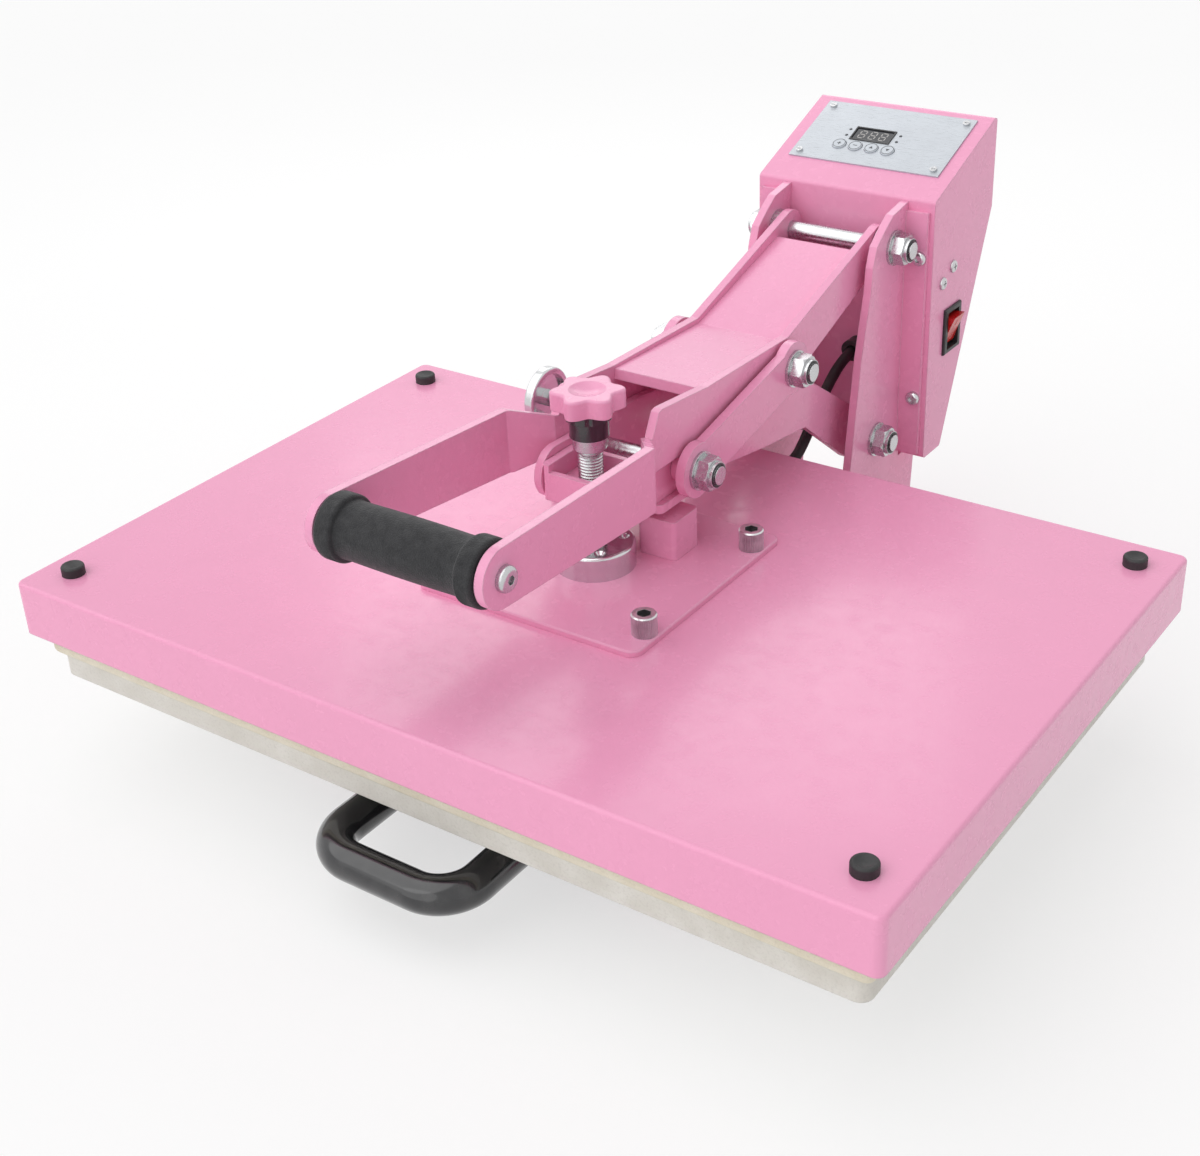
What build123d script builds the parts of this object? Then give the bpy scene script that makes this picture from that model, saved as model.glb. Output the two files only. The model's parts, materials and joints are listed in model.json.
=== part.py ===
from build123d import *
import math
import os

# Flat clamshell heat press, closed, in millimetres.
# X points right, Y to the back, Z up, and Z = 0 is the table that the feet stand on.
# Lengths along Y are first counted from the middle of the heated plate; place() moves them
# so that the part's own origin lies under the middle of its outline.

# Heated plate and its cover
plate_w = 600.0
plate_d = 390.0
plate_side_gap = 10.0
cover_w = plate_w + 2 * plate_side_gap
cover_d = plate_d + 2 * plate_side_gap
cover_h = 37.0
cover_wall = 2.0
cover_top = 138.0
cover_corner_r = 6.0
plate_t = 14.0
plate_drop = 6.0
element_r = 4.0
insulation_t = 14.0
insulation_gap = 0.5
cap_r = 7.6
cap_h = 6.5
cap_edge_x = 25.0
cap_edge_y = 28.0
cap_x = cover_w / 2 - cap_edge_x
cap_y = cover_d / 2 - cap_edge_y

# Slide-out lower plate
press_gap = 0.3
pad_t = 10.5
pad_w = plate_w
pad_d = plate_d
lower_t = 17.0
lower_edge = 4.0
lower_w = pad_w - 2 * lower_edge
lower_d = pad_d - 2 * lower_edge
drawer_bar_t = 12.0
drawer_bar_w = 30.0
drawer_half_w = 150.0
drawer_front_y = -140.0
drawer_back_y = 165.0
drawer_plate_t = 6.0
drawer_plate_half_w = 84.0
drawer_plate_h = 30.0
handle_tube_r = 12.0
handle_half_w = 50.0
handle_reach = 72.0
handle_bend_r = 26.0
handle_drop = 26.0

# Slide rails
rail_x = 118.0
rail_h = 16.0
rail_w = 13.0
rail_wall = 2.0
rail_front_y = -112.0
rail_back_y = 200.0
runner_clear = 0.4
runner_gap = 1.0

# Base
foot_r = 17.0
foot_h = 14.0
foot_top_r = 13.0
base_tube = 22.0
base_rail_w = 40.0
base_x = 130.0
base_front_y = -112.0
base_back_y = 345.0
base_cross_ys = (-72.0, 100.0)
base_deck_y = 228.0
foot_inset = 26.0

# Pivots of the linkage, Y from the plate's middle and Z from the table
lever_pivot_y = 303.0
lever_pivot_z = 264.0
arm_pivot_y = 285.0
arm_pivot_z = 124.0
knee_y = 169.0
knee_z = 222.0
toe_y = 52.0
toe_z = 197.0
screw_y = 2.0
block_z = 200.0
pivot_r = 6.5
bolt_r = 6.0
run_fit = 0.06
side_clear = 0.35

# Layers of the linkage, outward from the middle plane
arm_in_x = 26.0
arm_t = 5.5
lever_in_x = 32.0
lever_t = 6.0
link_in_x = 40.5
link_t = 6.7
upright_in_x = 44.0
upright_t = 6.0
boss_r = 10.0
washer_r = 12.5
washer_t = 2.0
nut_flat = 20.0
nut_t = 9.0
nut_collar_t = 2.5
nut_collar_r = 8.6
bolt_proud = 1.5

# Lever and handle
lever_eye_r = 14.0
cover_sheet_t = 3.0
sheet_top_rear = (282.0, 265.0)
sheet_fold = (176.0, 236.0)
sheet_front = (76.0, 240.0)
bend_in_y = 20.0
bend_out_y = -12.0
arm_out_x = 57.0
grip_y = -165.0
grip_z = 230.5
grip_half = 57.0
arm_end_r = 18.0
arm_flat_t = 6.0
foam_r = 17.0
foam_collar_r = 20.0
foam_collar_w = 13.0
handle_rod_r = 10.0
handle_bolt_head_r = 7.8
handle_bolt_head_h = 5.0
stop_y = 50.0
stop_z = 222.0
stop_shaft_r = 5.5
stop_disc_r = 20.0
stop_disc_t = 7.0
stop_reach = 27.0

# Link bars
link_eye_r = 18.0
link_mid_half = 15.0

# Pressure screw
thread_r = 8.0
thread_pitch = 2.0
thread_depth = 0.9
disc_r = 26.0
disc_h = 16.5
disc_pocket_r = 11.5
screw_flange_r = 11.0
screw_flange_h = 4.0
collar_r = 10.6
collar_h = 10.0
hub_low_r = 12.4
hub_low_h = 11.0
hub_up_r = 14.2
hub_top_z = 255.0
hub_low_z = 231.0
knob_r = 23.0
knob_lobes = 6
knob_lobe_depth = 5.5
knob_h = 12.0
knob_phase = 36.0
knob_top_z = 261.0
block_half_y = 17.0
block_h = 24.0
block_floor = 11.0
trunnion_r = 6.0
eye_r = 17.0
trunnion_head_r = 7.8
trunnion_head_h = 3.0

# Mounting plate on the cover, guide posts and pins
mount_w = 166.0
mount_d = 168.0
mount_y = 8.0
mount_t = 4.0
mount_corner = 8.0
mount_edge_x = 9.0
mount_edge_y = 23.0
mount_screw_x = mount_w / 2 - mount_edge_x
mount_screw_y = mount_d / 2 - mount_edge_y
cap_screw_r = 8.0
cap_screw_h = 13.5
cap_screw_shank_r = 4.0
post_x = 29.0
post_w = 28.0
post_y = 42.0
post_d = 28.0
post_h = 27.0
pin_x = 20.6
pin_r = 4.2
tab_t = 6.0
tab_top_z = 181.0
tab_half_x = 36.0
tab_front_y = 24.0
tab_back_y = 68.0
pin_clear = 0.5

# Uprights
upright_top_z = 291.0
upright_back_y = 350.0
upright_flange_w = 17.0
upright_flange_t = 3.5

# Control box
box_half_w = 70.7
box_front_y = 322.6
box_front_top_z = 293.9
box_back_top_y = 418.5
box_back_top_z = 330.9
box_back_mid_z = 264.0
box_low_z = 97.0
box_low_y = 350.0
box_wall = 1.8
box_corner_r = 3.0
panel_half_w = 60.0
panel_len = 67.0
panel_up = 7.5
panel_t = 1.2
panel_screw_r = 2.6
display_w = 30.0
display_h = 13.0
display_x = -7.5
key_r = 5.2
key_travel = 0.6
key_cap_h = 1.5
key_gap_x = 13.0
key_mid_x = -8.2
key_row = -6.8
display_row = 7.7
switch_y = 358.0
switch_z = 189.0
switch_len = 35.0
switch_w = 26.0
switch_bezel_t = 2.2
switch_depth = 22.0
rocker_pivot_x = box_half_w - 3.0
rocker_pin_r = 1.5
rocker_len = 26.0
rocker_w = 17.0
rocker_clear = 0.4
flange_screw_x = 62.0
flange_screw_zs = (253.0, 146.0)
side_screws = ((356.0, 237.0), (340.0, 229.0))

# Cables
cable_r = 4.0
cable_x = 14.0
cable_box_z = 176.0
gland_r = 8.0
gland_len = 11.0


def block(x0, x1, y0, y1, z0, z1):
    """A box between two corners."""
    middle = Pos((x0 + x1) / 2, (y0 + y1) / 2, (z0 + z1) / 2)
    return middle * Box(x1 - x0, y1 - y0, z1 - z0)


def bar_x(x0, x1, y, z, r):
    """A round bar along X."""
    return Pos((x0 + x1) / 2, y, z) * Rot(0, 90, 0) * Cylinder(r, abs(x1 - x0))


def bar_y(y0, y1, x, z, r):
    """A round bar along Y."""
    return Pos(x, (y0 + y1) / 2, z) * Rot(90, 0, 0) * Cylinder(r, abs(y1 - y0))


def bar_z(z0, z1, x, y, r):
    """A round bar along Z."""
    return Pos(x, y, (z0 + z1) / 2) * Cylinder(r, abs(z1 - z0))


def side_profile(points, x0, x1):
    """A plate across X with its outline given as (Y, Z) points."""
    face = make_face(Polyline(*points, close=True))
    return extrude(Plane.YZ.offset(x0) * face, x1 - x0)


def mirrored(solid):
    """The same piece on the other side of the middle plane."""
    return mirror(solid, Plane.YZ)


def both_sides(solid):
    """Two separate pieces, one on each side."""
    return [solid, mirrored(solid)]


def hex_nut(x, y, z):
    """A lock nut against a face at x, facing +X, with its nylon collar."""
    hexagon = Plane.YZ.offset(x) * RegularPolygon(nut_flat / 2, 6, major_radius=False)
    body = Pos(0, y, z) * extrude(hexagon, nut_t)
    shape = bar_x(x, x + nut_t, y, z, nut_flat / math.sqrt(3))
    body = body & chamfer(shape.edges().filter_by(GeomType.CIRCLE), 1.2)
    body = body + bar_x(x + nut_t, x + nut_t + nut_collar_t, y, z, nut_collar_r)
    return body - bar_x(x - 1, x + nut_t + nut_collar_t + 1, y, z, bolt_r + run_fit)


def washer(x, y, z, r=washer_r, t=washer_t, hole=bolt_r + run_fit):
    """A flat washer from x to x + t."""
    return bar_x(x, x + t, y, z, r) - bar_x(x - 1, x + t + 1, y, z, hole)


def screw_head_z(x, y, z, r, h, socket_r):
    """A socket head that stands on z, with a hexagon socket in its top."""
    head = bar_z(z, z + h, x, y, r)
    head = chamfer(head.edges().group_by(Axis.Z)[-1], 0.8)
    socket = Pos(x, y, z + h * 0.45) * extrude(RegularPolygon(socket_r, 6), h)
    return head - socket


# Base and feet

base_top = foot_h + base_tube
upright_foot_z = base_top


def base_frame():
    """Two long tubes, two cross tubes and the rear deck that the uprights stand on."""
    inner = base_x - base_rail_w / 2
    frame = None
    for side in (-1, 1):
        tube = block(side * base_x - base_rail_w / 2, side * base_x + base_rail_w / 2,
                     base_front_y, base_back_y, foot_h, base_top)
        frame = tube if frame is None else frame + tube
    for y in base_cross_ys:
        frame = frame + block(-inner, inner, y - base_rail_w / 2, y + base_rail_w / 2,
                              foot_h, base_top)
    frame = frame + block(-inner, inner, base_deck_y, base_back_y, foot_h, base_top)
    frame = fillet(frame.edges().filter_by(Axis.Z), 3.0)
    return frame


def rubber_feet():
    """Four tapered rubber feet."""
    feet = []
    for x in (-base_x, base_x):
        for y in (base_front_y + foot_inset, base_back_y - foot_inset):
            foot = Pos(x, y, foot_h / 2) * Cone(foot_r, foot_top_r, foot_h)
            feet.append(fillet(foot.edges().group_by(Axis.Z)[0], 1.0))
    return feet


# Slide rails and drawer

rail_z = base_top
pad_top = cover_top - cover_h - plate_drop - press_gap
lower_top = pad_top - pad_t
lower_bottom = lower_top - lower_t
drawer_top = lower_bottom
handle_z = drawer_top - handle_drop



def slide_rails():
    """Two channels on the base, open towards the middle."""
    outer = block(rail_x, rail_x + rail_w, rail_front_y, rail_back_y, rail_z, rail_z + rail_h)
    groove = block(rail_x - 1, rail_x + rail_w - rail_wall, rail_front_y - 1, rail_back_y + 1,
                   rail_z + rail_wall, rail_z + rail_h - rail_wall)
    return both_sides(outer - groove)


def drawer_runners():
    """Two bars that slide in the channels and carry the drawer frame."""
    x1 = rail_x + rail_w - rail_wall - runner_clear
    z0 = rail_z + rail_wall + runner_clear
    z1 = rail_z + rail_h - rail_wall - runner_clear
    bar = block(rail_x - rail_w, x1, rail_front_y, rail_back_y - 30.0, z0, z1)
    top_bar = block(rail_x - rail_w, rail_x - runner_gap, rail_front_y, rail_back_y - 30.0,
                    z1, drawer_top - drawer_bar_t)
    return both_sides(bar + top_bar)


def drawer_frame():
    """Black steel frame under the lower plate, with the deeper front plate for the handle."""
    z0 = drawer_top - drawer_bar_t
    frame = block(-drawer_half_w, drawer_half_w, drawer_front_y, drawer_back_y, z0, drawer_top)
    hole_x = drawer_half_w - drawer_bar_w - 25.0
    frame = frame - block(-hole_x, hole_x, drawer_front_y + drawer_bar_w,
                          drawer_back_y - drawer_bar_w, z0 - 1, drawer_top + 1)
    plate = block(-drawer_plate_half_w, drawer_plate_half_w, drawer_front_y - drawer_plate_t,
                  drawer_front_y, handle_z - drawer_plate_h / 2, drawer_top)
    plate = fillet(plate.edges().filter_by(Axis.Y).group_by(Axis.Z)[0], 6.0)
    return frame + plate


def drawer_handle():
    """Thick round pull handle, one bent tube with a flange at each foot."""
    y0 = drawer_front_y - drawer_plate_t
    y1 = y0 - handle_reach
    path = FilletPolyline((-handle_half_w, y0, handle_z), (-handle_half_w, y1, handle_z),
                          (handle_half_w, y1, handle_z), (handle_half_w, y0, handle_z),
                          radius=handle_bend_r)
    start = Plane(origin=(-handle_half_w, y0, handle_z), z_dir=(0, -1, 0))
    tube = sweep(start * Circle(handle_tube_r), path=path)
    for side in (-1, 1):
        tube = tube + bar_y(y0 - 3.0, y0, side * handle_half_w, handle_z, handle_tube_r + 2.0)
    return tube


def lower_platen():
    """Flat steel plate under the pad."""
    plate = block(-lower_w / 2, lower_w / 2, -lower_d / 2, lower_d / 2, lower_bottom, lower_top)
    return fillet(plate.edges().filter_by(Axis.Z), 8.0)


def silicone_pad():
    """Heat-proof sponge pad on the lower plate."""
    pad = block(-pad_w / 2, pad_w / 2, -pad_d / 2, pad_d / 2, lower_top, pad_top)
    return fillet(pad.edges().filter_by(Axis.Z), 3.0)


# Heated platen

cover_low = cover_top - cover_h
plate_low = cover_low - plate_drop
plate_top = plate_low + plate_t
element_z = plate_top + element_r
insulation_low = plate_top + 2 * element_r + insulation_gap


def platen_cover():
    """Folded sheet cover, open below, with holes for screws, caps and cable."""
    shell = block(-cover_w / 2, cover_w / 2, -cover_d / 2, cover_d / 2, cover_low, cover_top)
    shell = fillet(shell.edges().filter_by(Axis.Z), cover_corner_r)
    shell = fillet(shell.edges().group_by(Axis.Z)[-1], 2.5)
    hollow = block(-cover_w / 2 + cover_wall, cover_w / 2 - cover_wall,
                   -cover_d / 2 + cover_wall, cover_d / 2 - cover_wall,
                   cover_low - 1, cover_top - cover_wall)
    shell = shell - fillet(hollow.edges().filter_by(Axis.Z), cover_corner_r - cover_wall)
    for x in (-1, 1):
        for y in (-1, 1):
            shell = shell - bar_z(cover_top - 5, cover_top + 1, x * cap_x, y * cap_y, 4.0)
            shell = shell - bar_z(cover_top - 5, cover_top + 1, x * mount_screw_x,
                                  mount_y + y * mount_screw_y, cap_screw_shank_r + 0.5)
    return shell - bar_y(cover_d / 2 - 5, cover_d / 2 + 5, cable_x, platen_cable_z, gland_r - 2)


def heat_plate():
    """Cast aluminium heated plate with tapped holes for the cover screws."""
    plate = block(-plate_w / 2, plate_w / 2, -plate_d / 2, plate_d / 2, plate_low, plate_top)
    plate = fillet(plate.edges().filter_by(Axis.Z), 5.0)
    for x in (-1, 1):
        for y in (-1, 1):
            plate = plate - bar_z(plate_top - 9, plate_top + 1, x * mount_screw_x,
                                  mount_y + y * mount_screw_y, cap_screw_shank_r + 0.05)
    return plate


def heating_element():
    """Tubular element clamped on the plate in five long runs."""
    runs = 6
    half_x = plate_w / 2 - 45.0
    pitch = (plate_d - 110.0) / (runs - 1)
    points = []
    for run in range(runs):
        y = -plate_d / 2 + 55.0 + run * pitch
        ends = (-half_x, half_x) if run % 2 == 0 else (half_x, -half_x)
        points.append((ends[0], y, element_z))
        points.append((ends[1], y, element_z))
    path = FilletPolyline(*points, radius=20.0)
    start = Plane(origin=points[0], z_dir=(1, 0, 0))
    return sweep(start * Circle(element_r), path=path)


def insulation():
    """Ceramic fibre blanket above the element, pierced by the screws."""
    blanket = block(-plate_w / 2 + 4, plate_w / 2 - 4, -plate_d / 2 + 4, plate_d / 2 - 4,
                    insulation_low, insulation_low + insulation_t)
    for x in (-1, 1):
        for y in (-1, 1):
            blanket = blanket - bar_z(insulation_low - 1, insulation_low + insulation_t + 1,
                                      x * mount_screw_x, mount_y + y * mount_screw_y,
                                      cap_screw_shank_r + 1.0)
    return blanket


def corner_caps():
    """Four black plugs in the corners of the cover."""
    caps = []
    for x in (-1, 1):
        for y in (-1, 1):
            cap = bar_z(cover_top, cover_top + cap_h, x * cap_x, y * cap_y, cap_r)
            cap = fillet(cap.edges().group_by(Axis.Z)[-1], 1.6)
            dish = Pos(x * cap_x, y * cap_y, cover_top + cap_h + 10.2) * Sphere(11.6)
            stem = bar_z(cover_top - 6, cover_top, x * cap_x, y * cap_y, 3.8)
            caps.append(cap - dish + stem)
    return caps


platen_cable_z = cover_top - 18.0
mount_top = cover_top + mount_t


def mount_plate():
    """Square plate on the cover that the screw and the guide posts stand on."""
    plate = block(-mount_w / 2, mount_w / 2, mount_y - mount_d / 2, mount_y + mount_d / 2,
                  cover_top, mount_top)
    plate = fillet(plate.edges().filter_by(Axis.Z), mount_corner)
    plate = chamfer(plate.edges().group_by(Axis.Z)[-1], 0.8)
    for x in (-1, 1):
        for y in (-1, 1):
            plate = plate - bar_z(cover_top - 1, mount_top + 1, x * mount_screw_x,
                                  mount_y + y * mount_screw_y, cap_screw_shank_r + 0.3)
    return plate


def mount_screws():
    """Four socket screws that pull the plate, the cover and the heated plate together."""
    screws = []
    for x in (-1, 1):
        for y in (-1, 1):
            px = x * mount_screw_x
            py = mount_y + y * mount_screw_y
            head = screw_head_z(px, py, mount_top, cap_screw_r, cap_screw_h, 4.6)
            shank = bar_z(plate_top - 8, mount_top, px, py, cap_screw_shank_r)
            screws.append(head + shank)
    return screws


def pressure_disc():
    """Turned disc, bolted to the plate, that holds the foot of the screw."""
    disc = bar_z(mount_top, mount_top + disc_h, 0, screw_y, disc_r)
    disc = fillet(disc.edges().group_by(Axis.Z)[-1], 2.0)
    top = mount_top + disc_h
    pocket_low = top - screw_flange_h - 5.0
    disc = disc - bar_z(pocket_low, top - 3.0, 0, screw_y, disc_pocket_r)
    disc = disc - bar_z(top - 4.0, top + 1, 0, screw_y, thread_r + 0.4)
    for turn in range(4):
        angle = math.radians(45 + 90 * turn)
        x = 19.0 * math.cos(angle)
        y = screw_y + 19.0 * math.sin(angle)
        disc = disc - Pos(x, y, top - 1.0) * Cone(1.6, 3.6, 2.2)
    return disc


def guide_posts():
    """Two square posts beside the screw, behind the disc."""
    post = block(post_x - post_w / 2, post_x + post_w / 2, post_y - post_d / 2,
                 post_y + post_d / 2, mount_top, mount_top + post_h)
    post = fillet(post.edges().filter_by(Axis.Z), 3.0)
    post = post - bar_z(mount_top + 4, mount_top + post_h + 1, pin_x, post_y, pin_r + 0.02)
    return both_sides(post)


def guide_pins():
    """Two bright pins pressed into the posts, sliding in the arm's cross plate."""
    pin = bar_z(mount_top + 4, tab_top_z - 0.5, pin_x, post_y, pin_r)
    pin = chamfer(pin.edges().group_by(Axis.Z)[-1], 0.8)
    return both_sides(pin)


# Pressure screw and knob

screw_low_z = mount_top + disc_h - screw_flange_h - 5.0 + 0.3
collar_low_z = hub_low_z - collar_h


def pressure_screw():
    """Threaded spindle with its foot flange, its turned collar and the hub's square."""
    foot = bar_z(screw_low_z, screw_low_z + screw_flange_h, 0, screw_y, screw_flange_r)
    low = screw_low_z + screw_flange_h
    turns = int((collar_low_z - low) / thread_pitch)
    points = [(0, low), (thread_r - thread_depth, low)]
    for turn in range(turns):
        z = low + turn * thread_pitch
        points.append((thread_r - thread_depth, z + 0.1 * thread_pitch))
        points.append((thread_r, z + 0.5 * thread_pitch))
        points.append((thread_r - thread_depth, z + 0.9 * thread_pitch))
    points.append((thread_r - thread_depth, collar_low_z))
    points.append((0, collar_low_z))
    profile = make_face(Polyline(*[(x, 0, z) for x, z in points], close=True))
    spindle = Pos(0, screw_y, 0) * revolve(profile, Axis.Z)
    collar = bar_z(collar_low_z, hub_low_z, 0, screw_y, collar_r)
    collar = chamfer(collar.edges().group_by(Axis.Z)[0], 1.8)
    stem = bar_z(hub_low_z, hub_top_z - 4, 0, screw_y, 5.0)
    return spindle + foot + collar + stem


def knob_hub():
    """Black stepped core of the knob, with six soft flutes."""
    low = bar_z(hub_low_z, hub_low_z + hub_low_h, 0, screw_y, hub_low_r)
    up = bar_z(hub_low_z + hub_low_h, hub_top_z, 0, screw_y, hub_up_r)
    hub = low + up
    for lobe in range(knob_lobes):
        angle = math.radians(60 * lobe + 30 + knob_phase)
        x = (hub_up_r + 2.2) * math.cos(angle)
        y = screw_y + (hub_up_r + 2.2) * math.sin(angle)
        hub = hub - bar_z(hub_low_z + hub_low_h - 1, hub_top_z + 1, x, y, 3.4)
    return hub - bar_z(hub_low_z - 1, hub_top_z - 4, 0, screw_y, 5.05)


def star_knob():
    """Pink six-lobed cap that closes over the hub."""
    points = []
    for step in range(4 * knob_lobes):
        turn = 2 * math.pi * step / (4 * knob_lobes)
        r = knob_r - knob_lobe_depth * (1 - math.cos(knob_lobes * turn)) / 2
        turn = turn + math.radians(knob_phase)
        points.append((r * math.cos(turn), r * math.sin(turn)))
    outline = make_face(Spline(*points, periodic=True))
    body = Pos(0, screw_y, knob_top_z - knob_h) * extrude(outline, knob_h)
    body = fillet(body.edges().group_by(Axis.Z)[-1], 1.6)
    core = bar_z(knob_top_z - knob_h - 1, hub_top_z, 0, screw_y, hub_up_r + 0.05)
    dish = Pos(0, screw_y, knob_top_z + 21.0) * Sphere(24.0)
    return body - core - dish


# Arm

def arm_plate():
    """Side plate of the arm, from the lower pivot to the eye of the screw block."""
    x0 = arm_in_x
    x1 = arm_in_x + arm_t
    points = [(screw_y, block_z + eye_r), (96.0, 214.0), (205.0, 200.0),
              (arm_pivot_y + 11.0, arm_pivot_z + 14.0), (arm_pivot_y - 12.0, arm_pivot_z - 13.5),
              (213.0, 158.0), (160.0, 165.0), (tab_back_y, tab_top_z),
              (tab_front_y - 4, tab_top_z), (screw_y, block_z - eye_r)]
    plate = side_profile(points, x0, x1)
    plate = plate + bar_x(x0, x1, screw_y, block_z, eye_r)
    plate = plate + bar_x(x0, x1, arm_pivot_y, arm_pivot_z, lever_eye_r + 4.0)
    boss_end = upright_in_x - side_clear
    plate = plate + bar_x(x1, boss_end, arm_pivot_y, arm_pivot_z, boss_r)
    plate = plate - bar_x(x0 - 1, boss_end + 1, arm_pivot_y, arm_pivot_z, pivot_r + run_fit)
    plate = plate - bar_x(x0 - 1, x1 + 1, screw_y, block_z, trunnion_r + run_fit)
    return plate - bar_x(x0 - 1, x1 + 1, toe_y, toe_z, bolt_r + run_fit)


def arm_cross_plate():
    """Flat plate welded under the arm plates, drilled for the guide pins."""
    plate = block(-tab_half_x, tab_half_x, tab_front_y, tab_back_y, tab_top_z - tab_t, tab_top_z)
    plate = fillet(plate.edges().filter_by(Axis.Z), 5.0)
    for side in (-1, 1):
        slot_r = pin_r + pin_clear
        plate = plate - bar_z(tab_top_z - tab_t - 1, tab_top_z + 1, side * pin_x, post_y, slot_r)
    return plate


def arm_axle():
    """Bright tie rod between the arm plates, on the line of the link's toe."""
    return bar_x(-(arm_in_x + arm_t), arm_in_x + arm_t, toe_y, toe_z, bolt_r)


def swivel_block():
    """Open-topped block between the arm's eyes, tapped for the screw."""
    half = arm_in_x - side_clear
    low = block_z - block_h / 2
    top = block_z + block_h / 2
    body = block(-half, half, screw_y - block_half_y, screw_y + block_half_y, low, top)
    body = fillet(body.edges().filter_by(Axis.Z), 4.0)
    pocket = block(-half + 6, half - 6, screw_y - block_half_y + 4, screw_y + block_half_y - 4,
                   low + block_floor, top + 1)
    body = body - pocket
    body = body - block(-half + 6, half - 6, screw_y - block_half_y - 1,
                        screw_y - block_half_y + 5, top - 5, top + 1)
    return body - bar_z(low - 1, top + 1, 0, screw_y, thread_r + run_fit)


def swivel_bolts():
    """Two headed trunnion bolts through the arm's eyes into the block."""
    x0 = arm_in_x + arm_t
    bolt = bar_x(arm_in_x - side_clear, x0, screw_y, block_z, trunnion_r)
    head = bar_x(x0, x0 + trunnion_head_h, screw_y, block_z, trunnion_head_r)
    head = fillet(head.edges().group_by(Axis.X)[-1], 1.6)
    return both_sides(bolt + head)


# Lever

def lever_plate():
    """Side plate of the lever with the flared handle arm that carries the grip."""
    x0 = lever_in_x
    x1 = lever_in_x + lever_t
    points = [(lever_pivot_y - 3.0, lever_pivot_z + lever_eye_r), (sheet_fold[0], 239.5),
              (sheet_front[0], 242.0), (bend_in_y + 6.0, 247.0), (bend_in_y + 2.0, 246.0),
              (bend_in_y - 6.0, 231.0), (bend_in_y - 6.0, 208.5), (96.0, 208.5),
              (knee_y - 12.0, knee_z - 17.0), (knee_y + 10.0, knee_z - 17.5),
              (lever_pivot_y + 4.0, lever_pivot_z - lever_eye_r + 0.6)]
    plate = side_profile(points, x0, x1)
    plate = plate + bar_x(x0, x1, lever_pivot_y, lever_pivot_z, lever_eye_r)
    plate = plate - bar_x(x0 - 1, x1 + 1, lever_pivot_y, lever_pivot_z, pivot_r + run_fit)
    plate = plate - bar_x(x0 - 1, x1 + 1, knee_y, knee_z, bolt_r + run_fit)
    return plate + handle_arm()


def handle_arm():
    """The bent flat bar from the notch to the grip, as one folded strip."""
    x0 = lever_in_x
    x1 = arm_out_x
    t = arm_flat_t
    root_y = bend_in_y - 6.0
    end_y = grip_y - arm_end_r - 2.0
    end_x = grip_half + t
    outline = Polyline((x0, root_y), (x0 + t, root_y), (x0 + t, bend_in_y - 8.0),
                       (x1, bend_out_y), (end_x, grip_y), (end_x, end_y), (end_x - t, end_y),
                       (end_x - t, grip_y), (x1 - t, bend_out_y - 2.0), (x0, bend_in_y - 10.0),
                       close=True)
    strip = Pos(0, 0, 180) * extrude(make_face(outline), 90)
    side = [(root_y + 1, 231.0), (bend_out_y, 241.0), (grip_y, grip_z + arm_end_r),
            (grip_y, grip_z - arm_end_r), (bend_out_y, 199.0), (root_y + 1, 208.5)]
    shape = side_profile(side, x0 - 5, end_x + 5)
    shape = shape + bar_x(x0 - 5, end_x + 5, grip_y, grip_z, arm_end_r)
    arm = strip & shape
    return arm - bar_x(x0, end_x + 5, grip_y, grip_z, 5.0 + run_fit)


def lever_cover():
    """Folded sheet between the side plates, with its front lip turned down."""
    half = lever_in_x - 0.05
    t = cover_sheet_t
    rear = sheet_top_rear
    fold = sheet_fold
    front = sheet_front
    points = [rear, fold, front, (front[0] - 1.0, front[1] - 7.0),
              (front[0] + t, front[1] - 7.0), (front[0] + t + 1, front[1] - t),
              (fold[0] + 1, fold[1] - t), (rear[0] + 1, rear[1] - t)]
    return side_profile(points, -half, half)


def handle_tube():
    """Steel tube inside the grip, threaded at both ends."""
    half = grip_half - 0.6
    tube = bar_x(-half, half, grip_y, grip_z, handle_rod_r)
    for side in (-1, 1):
        tube = tube - bar_x(side * (grip_half - 22), side * (grip_half + 1), grip_y, grip_z, 5.05)
    return tube


def foam_grip():
    """Black foam grip with a thicker collar at each end."""
    half = grip_half - 1.3
    grip = bar_x(-half, half, grip_y, grip_z, foam_r)
    for side in (-1, 1):
        collar = bar_x(side * half, side * (half - foam_collar_w), grip_y, grip_z, foam_collar_r)
        grip = grip + fillet(collar.edges().filter_by(GeomType.CIRCLE), 2.5)
    return grip - bar_x(-half - 1, half + 1, grip_y, grip_z, handle_rod_r + 0.05)


def handle_bolts():
    """Two button-head bolts with hexagon sockets."""
    x0 = grip_half + arm_flat_t
    shank = bar_x(grip_half - 20, x0, grip_y, grip_z, 5.0)
    head = bar_x(x0, x0 + handle_bolt_head_h, grip_y, grip_z, handle_bolt_head_r)
    head = fillet(head.edges().group_by(Axis.X)[-1], 3.0)
    socket = Plane.YZ.offset(x0 + 1.6) * RegularPolygon(2.9, 6)
    head = head - Pos(0, grip_y, grip_z) * extrude(socket, 6.0)
    return both_sides(shank + head)


def stop_disc():
    """Bright dished disc on a short shaft at the left of the lever."""
    x0 = -(lever_in_x + lever_t)
    shaft = bar_x(x0 - stop_reach, x0, stop_y, stop_z, stop_shaft_r)
    disc = bar_x(x0 - stop_reach - stop_disc_t, x0 - stop_reach, stop_y, stop_z, stop_disc_r)
    disc = fillet(disc.edges().filter_by(GeomType.CIRCLE), 1.5)
    dish = bar_x(x0 - stop_reach - 3.0, x0 - stop_reach + 1, stop_y, stop_z, stop_disc_r - 4.0)
    return disc - dish + bar_x(x0 - stop_reach - 4, x0 - stop_reach, stop_y, stop_z,
                               stop_shaft_r) + shaft


# Link bars

link_out_x = link_in_x + link_t


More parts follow.
